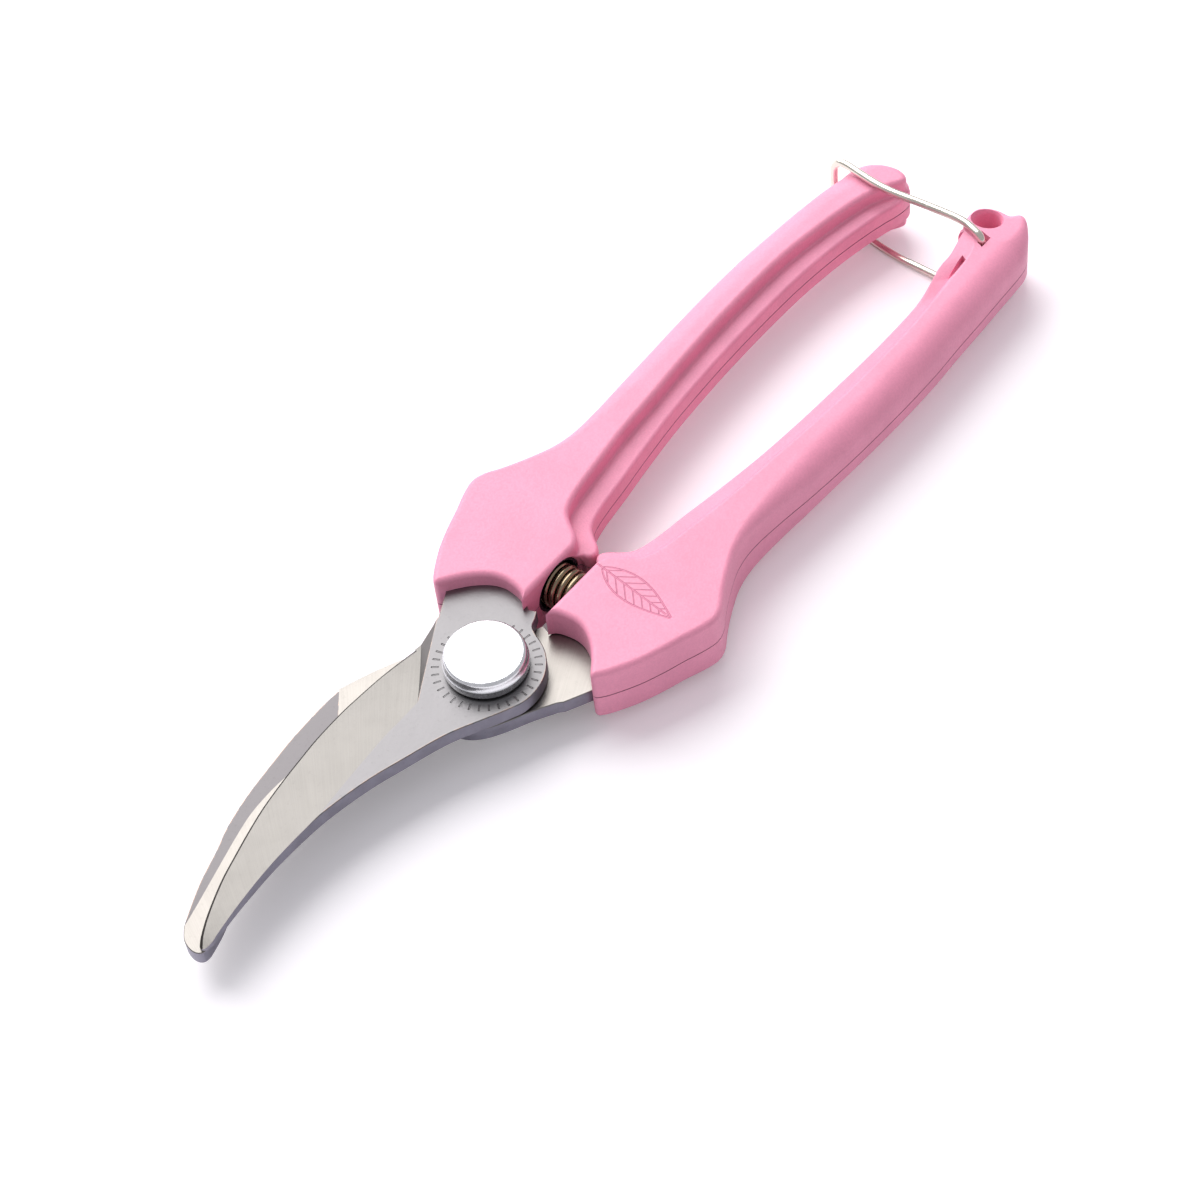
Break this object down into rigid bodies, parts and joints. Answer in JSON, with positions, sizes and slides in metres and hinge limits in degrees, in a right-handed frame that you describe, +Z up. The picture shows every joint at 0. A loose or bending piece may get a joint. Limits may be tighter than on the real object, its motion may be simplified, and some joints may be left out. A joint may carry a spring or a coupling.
{
  "type": "pruning_shears",
  "caption": "Bypass pruning shears with curved steel blades, pink moulded handles, a coil return spring and a wire catch.",
  "frame": {"origin": "middle of the bottom of the whole tool's box, lying flat, closed and latched", "axes": "+Y from the blades to the handle ends, +X towards the handle with the hang hole, +Z up through the pivot bolt's head"},
  "size_m": [0.0516, 0.1984, 0.0154],
  "materials": {
    "pink_plastic": "moulded with a fine grain",
    "forged_steel": "forged grey with a ground bevel",
    "counter_steel": "forged grey with a bright ground land",
    "zinc_plating": "bright plated and turned",
    "spring_steel": "dark drawn wire",
    "nickel_wire": "nickel plated wire",
    "black_plastic": "moulded",
    "pin_steel": "plain"
  },
  "bodies": {
    "counter_side": {"counter_blade": "counter_steel", "right_handle_upper_shell": "pink_plastic", "right_handle_lower_shell": "pink_plastic", "right_tang_pin_1": "pin_steel", "right_tang_pin_2": "pin_steel", "right_spring_seat": "black_plastic", "pivot_bolt": "zinc_plating", "pivot_washer": "zinc_plating", "pivot_nut": "zinc_plating", "return_spring": "spring_steel"},
    "cutting_side": {"cutting_blade": "forged_steel", "left_handle_upper_shell": "pink_plastic", "left_handle_lower_shell": "pink_plastic", "left_tang_pin_1": "pin_steel", "left_tang_pin_2": "pin_steel", "left_spring_seat": "black_plastic"},
    "catch": {"wire_catch": "nickel_wire"}
  },
  "joints": [
    {"name": "pivot_open", "type": "hinge", "parent": "counter_side", "child": "cutting_side", "pos_m": [0, -0.0327, 0.0077], "axis": [0, 0, 1], "range_deg": [0, 25], "deforming": ["return_spring"]},
    {"name": "catch_swing", "type": "hinge", "parent": "counter_side", "child": "catch", "pos_m": [0.0128, 0.089, 0.0077], "axis": [0, 0, -1], "range_deg": [0, 125]}
  ],
  "couplings": [
    {"joint": "catch_swing", "follows": "pivot_open", "ratio": 5}
  ]
}
